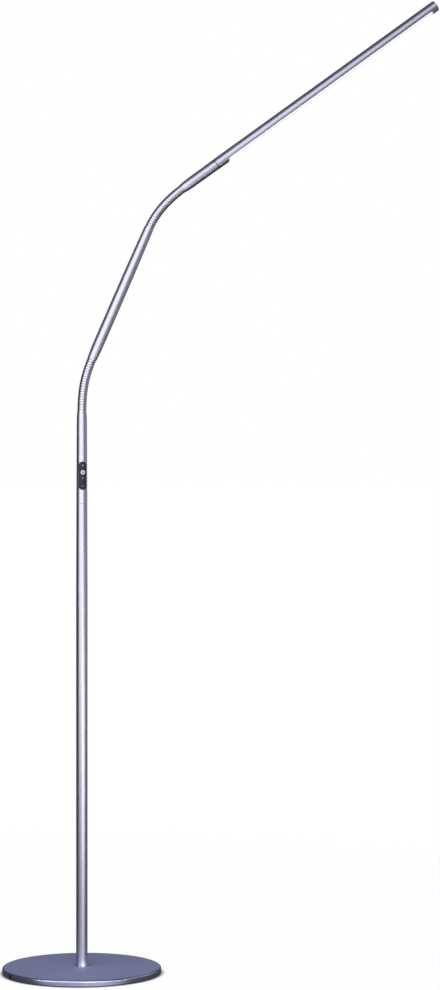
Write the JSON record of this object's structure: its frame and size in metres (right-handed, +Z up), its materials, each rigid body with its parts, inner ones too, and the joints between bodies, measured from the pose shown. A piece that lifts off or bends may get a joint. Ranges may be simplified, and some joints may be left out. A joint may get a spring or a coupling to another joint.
{
  "type": "gooseneck floor lamp",
  "caption": "Slim reading floor lamp with a round weighted base, a straight pole with a control panel, flexible necks joined by a tube, and a long round light-bar head.",
  "frame": {"origin": "on the floor under the middle of the round base", "axes": "+Z up along the pole, +X the way the arm and head lean, and the control panel faces -Y"},
  "size_m": [0.652, 0.2286, 1.4181],
  "materials": {
    "nickel_base": "satin",
    "nickel_tube": "satin",
    "nickel_arm": "satin",
    "neck_nickel": "satin",
    "plain_steel": "satin",
    "bare_aluminium": "matte",
    "contact_brass": "satin",
    "pad_rubber": "matte",
    "black_plastic": "matte",
    "panel_black": "satin",
    "key_ring": "satin",
    "key_dark": "gloss",
    "key_black": "satin",
    "clear_pipe": "gloss",
    "board_green": "satin",
    "board_white": "satin",
    "light_chip": "satin",
    "milky_diffuser": "satin",
    "washer_nylon": "matte",
    "lead_jacket": "satin"
  },
  "bodies": {
    "stand": {"base_plate": "nickel_base", "base_pad": "pad_rubber", "power_jack": "black_plastic", "jack_pin": "contact_brass", "pole_foot": "nickel_tube", "pole_stem": "plain_steel", "stem_washer": "plain_steel", "stem_nut": "plain_steel", "lower_pole": "nickel_tube", "pole_joiner": "bare_aluminium", "control_tube": "nickel_tube", "control_bezel": "panel_black", "control_board": "board_green", "board_screws": "plain_steel", "key_switches": "black_plastic", "indicator_pipe": "clear_pipe", "lower_neck_foot": "neck_nickel", "supply_lead": "lead_jacket", "lower_lead": "lead_jacket"},
    "power_key": {"power_key": "key_ring", "power_lens": "key_dark"},
    "brighter_key": {"brighter_key": "key_black"},
    "dimmer_key": {"dimmer_key": "key_black"},
    "lower_link_01": {"lower_neck_link_01": "neck_nickel"},
    "lower_link_02": {"lower_neck_link_02": "neck_nickel"},
    "lower_link_03": {"lower_neck_link_03": "neck_nickel"},
    "lower_link_04": {"lower_neck_link_04": "neck_nickel"},
    "lower_link_05": {"lower_neck_link_05": "neck_nickel"},
    "lower_link_06": {"lower_neck_link_06": "neck_nickel"},
    "lower_link_07": {"lower_neck_link_07": "neck_nickel"},
    "lower_link_08": {"lower_neck_link_08": "neck_nickel"},
    "lower_link_09": {"lower_neck_link_09": "neck_nickel"},
    "lower_link_10": {"lower_neck_link_10": "neck_nickel"},
    "mid_arm": {"lower_neck_cap": "neck_nickel", "mid_tube": "nickel_arm", "upper_neck_foot": "neck_nickel", "upper_lead": "lead_jacket"},
    "upper_link_01": {"upper_neck_link_01": "neck_nickel"},
    "upper_link_02": {"upper_neck_link_02": "neck_nickel"},
    "upper_link_03": {"upper_neck_link_03": "neck_nickel"},
    "upper_link_04": {"upper_neck_link_04": "neck_nickel"},
    "upper_link_05": {"upper_neck_link_05": "neck_nickel"},
    "upper_link_06": {"upper_neck_link_06": "neck_nickel"},
    "upper_link_07": {"upper_neck_link_07": "neck_nickel"},
    "upper_link_08": {"upper_neck_link_08": "neck_nickel"},
    "upper_link_09": {"upper_neck_link_09": "neck_nickel"},
    "upper_link_10": {"upper_neck_link_10": "neck_nickel"},
    "ferrule": {"upper_neck_cap": "neck_nickel", "head_ferrule": "nickel_arm", "swivel_shaft": "plain_steel", "swivel_clip": "plain_steel", "swivel_washer": "washer_nylon"},
    "head": {"head_tube": "nickel_arm", "head_end_plug": "bare_aluminium", "light_tray": "bare_aluminium", "light_board": "board_white", "light_chips": "light_chip", "diffuser": "milky_diffuser", "tip_cap": "nickel_arm", "head_lead": "lead_jacket"}
  },
  "joints": [
    {"name": "lower_bend_01", "type": "hinge", "parent": "stand", "child": "lower_link_01", "pos_m": [0, 0, 0.8101], "axis": [0, 1, 0], "range_deg": [-15.26, 7.69], "deforming": ["lower_lead"]},
    {"name": "lower_sway_01", "type": "hinge", "parent": "lower_link_01", "child": "lower_link_02", "pos_m": [0.00025, 0, 0.81746], "axis": [0.9994, 0, -0.0337], "range_deg": [-8.5, 8.5]},
    {"name": "lower_bend_02", "type": "hinge", "parent": "lower_link_02", "child": "lower_link_03", "pos_m": [0.0005, 0, 0.82481], "axis": [0, 1, 0], "range_deg": [-15.26, 7.69]},
    {"name": "lower_sway_02", "type": "hinge", "parent": "lower_link_03", "child": "lower_link_04", "pos_m": [0.0012, 0, 0.83214], "axis": [0.9954, 0, -0.0957], "range_deg": [-8.5, 8.5]},
    {"name": "lower_bend_03", "type": "hinge", "parent": "lower_link_04", "child": "lower_link_05", "pos_m": [0.0019, 0, 0.83946], "axis": [0, 1, 0], "range_deg": [-15.26, 7.69]},
    {"name": "lower_sway_03", "type": "hinge", "parent": "lower_link_05", "child": "lower_link_06", "pos_m": [0.00324, 0, 0.8467], "axis": [0.9835, 0, -0.1809], "range_deg": [-8.5, 8.5]},
    {"name": "lower_bend_04", "type": "hinge", "parent": "lower_link_06", "child": "lower_link_07", "pos_m": [0.00457, 0, 0.85394], "axis": [0, 1, 0], "range_deg": [-15.26, 7.69]},
    {"name": "lower_sway_04", "type": "hinge", "parent": "lower_link_07", "child": "lower_link_08", "pos_m": [0.0066, 0, 0.86101], "axis": [0.961, 0, -0.2766], "range_deg": [-8.5, 8.5]},
    {"name": "lower_bend_05", "type": "hinge", "parent": "lower_link_08", "child": "lower_link_09", "pos_m": [0.00864, 0, 0.86809], "axis": [0, 1, 0], "range_deg": [-15.26, 7.69]},
    {"name": "lower_sway_05", "type": "hinge", "parent": "lower_link_09", "child": "lower_link_10", "pos_m": [0.01126, 0, 0.87496], "axis": [0.9343, 0, -0.3566], "range_deg": [-8.5, 8.5]},
    {"name": "lower_bend_06", "type": "hinge", "parent": "lower_link_10", "child": "mid_arm", "pos_m": [0.01389, 0, 0.88184], "axis": [0, 1, 0], "range_deg": [-15.26, 7.69]},
    {"name": "upper_bend_01", "type": "hinge", "parent": "mid_arm", "child": "upper_link_01", "pos_m": [0.0996, 0, 1.07618], "axis": [0, 1, 0], "range_deg": [-16.44, 6.87], "deforming": ["upper_lead"]},
    {"name": "upper_sway_01", "type": "hinge", "parent": "upper_link_01", "child": "upper_link_02", "pos_m": [0.10317, 0, 1.08261], "axis": [0.8743, 0, -0.4854], "range_deg": [-8.5, 8.5]},
    {"name": "upper_bend_02", "type": "hinge", "parent": "upper_link_02", "child": "upper_link_03", "pos_m": [0.10675, 0, 1.08905], "axis": [0, 1, 0], "range_deg": [-16.44, 6.87]},
    {"name": "upper_sway_02", "type": "hinge", "parent": "upper_link_03", "child": "upper_link_04", "pos_m": [0.11099, 0, 1.09506], "axis": [0.8173, 0, -0.5761], "range_deg": [-8.5, 8.5]},
    {"name": "upper_bend_03", "type": "hinge", "parent": "upper_link_04", "child": "upper_link_05", "pos_m": [0.11523, 0, 1.10108], "axis": [0, 1, 0], "range_deg": [-16.44, 6.87]},
    {"name": "upper_sway_03", "type": "hinge", "parent": "upper_link_05", "child": "upper_link_06", "pos_m": [0.12012, 0, 1.10658], "axis": [0.7473, 0, -0.6644], "range_deg": [-8.5, 8.5]},
    {"name": "upper_bend_04", "type": "hinge", "parent": "upper_link_06", "child": "upper_link_07", "pos_m": [0.12501, 0, 1.11208], "axis": [0, 1, 0], "range_deg": [-16.44, 6.87]},
    {"name": "upper_sway_04", "type": "hinge", "parent": "upper_link_07", "child": "upper_link_08", "pos_m": [0.13037, 0, 1.11711], "axis": [0.6843, 0, -0.7292], "range_deg": [-8.5, 8.5]},
    {"name": "upper_bend_05", "type": "hinge", "parent": "upper_link_08", "child": "upper_link_09", "pos_m": [0.13574, 0, 1.12215], "axis": [0, 1, 0], "range_deg": [-16.44, 6.87]},
    {"name": "upper_sway_05", "type": "hinge", "parent": "upper_link_09", "child": "upper_link_10", "pos_m": [0.14145, 0, 1.12679], "axis": [0.6307, 0, -0.776], "range_deg": [-8.5, 8.5]},
    {"name": "upper_bend_06", "type": "hinge", "parent": "upper_link_10", "child": "ferrule", "pos_m": [0.14716, 0, 1.13143], "axis": [0, 1, 0], "range_deg": [-16.44, 6.87]},
    {"name": "head_swivel", "type": "hinge", "parent": "ferrule", "child": "head", "pos_m": [0.19814, 0, 1.16846], "axis": [0.8091, 0, 0.5876], "range_deg": [-90, 90]},
    {"name": "power_key_press", "type": "slide", "parent": "stand", "child": "power_key", "axis": [0, 1, 0], "range_m": [0, 0.0003], "stiffness_N_per_m": 1500, "springref_m": -0.0005},
    {"name": "brighter_key_press", "type": "slide", "parent": "stand", "child": "brighter_key", "axis": [0, 1, 0], "range_m": [0, 0.0003], "stiffness_N_per_m": 1500, "springref_m": -0.0005},
    {"name": "dimmer_key_press", "type": "slide", "parent": "stand", "child": "dimmer_key", "axis": [0, 1, 0], "range_m": [0, 0.0003], "stiffness_N_per_m": 1500, "springref_m": -0.0005}
  ],
  "couplings": [
    {"joint": "lower_bend_02", "follows": "lower_bend_01", "ratio": 1},
    {"joint": "lower_bend_03", "follows": "lower_bend_01", "ratio": 1},
    {"joint": "lower_bend_04", "follows": "lower_bend_01", "ratio": 1},
    {"joint": "lower_bend_05", "follows": "lower_bend_01", "ratio": 1},
    {"joint": "lower_bend_06", "follows": "lower_bend_01", "ratio": 1},
    {"joint": "lower_sway_02", "follows": "lower_sway_01", "ratio": 1},
    {"joint": "lower_sway_03", "follows": "lower_sway_01", "ratio": 1},
    {"joint": "lower_sway_04", "follows": "lower_sway_01", "ratio": 1},
    {"joint": "lower_sway_05", "follows": "lower_sway_01", "ratio": 1},
    {"joint": "upper_bend_02", "follows": "upper_bend_01", "ratio": 1},
    {"joint": "upper_bend_03", "follows": "upper_bend_01", "ratio": 1},
    {"joint": "upper_bend_04", "follows": "upper_bend_01", "ratio": 1},
    {"joint": "upper_bend_05", "follows": "upper_bend_01", "ratio": 1},
    {"joint": "upper_bend_06", "follows": "upper_bend_01", "ratio": 1},
    {"joint": "upper_sway_02", "follows": "upper_sway_01", "ratio": 1},
    {"joint": "upper_sway_03", "follows": "upper_sway_01", "ratio": 1},
    {"joint": "upper_sway_04", "follows": "upper_sway_01", "ratio": 1},
    {"joint": "upper_sway_05", "follows": "upper_sway_01", "ratio": 1}
  ]
}
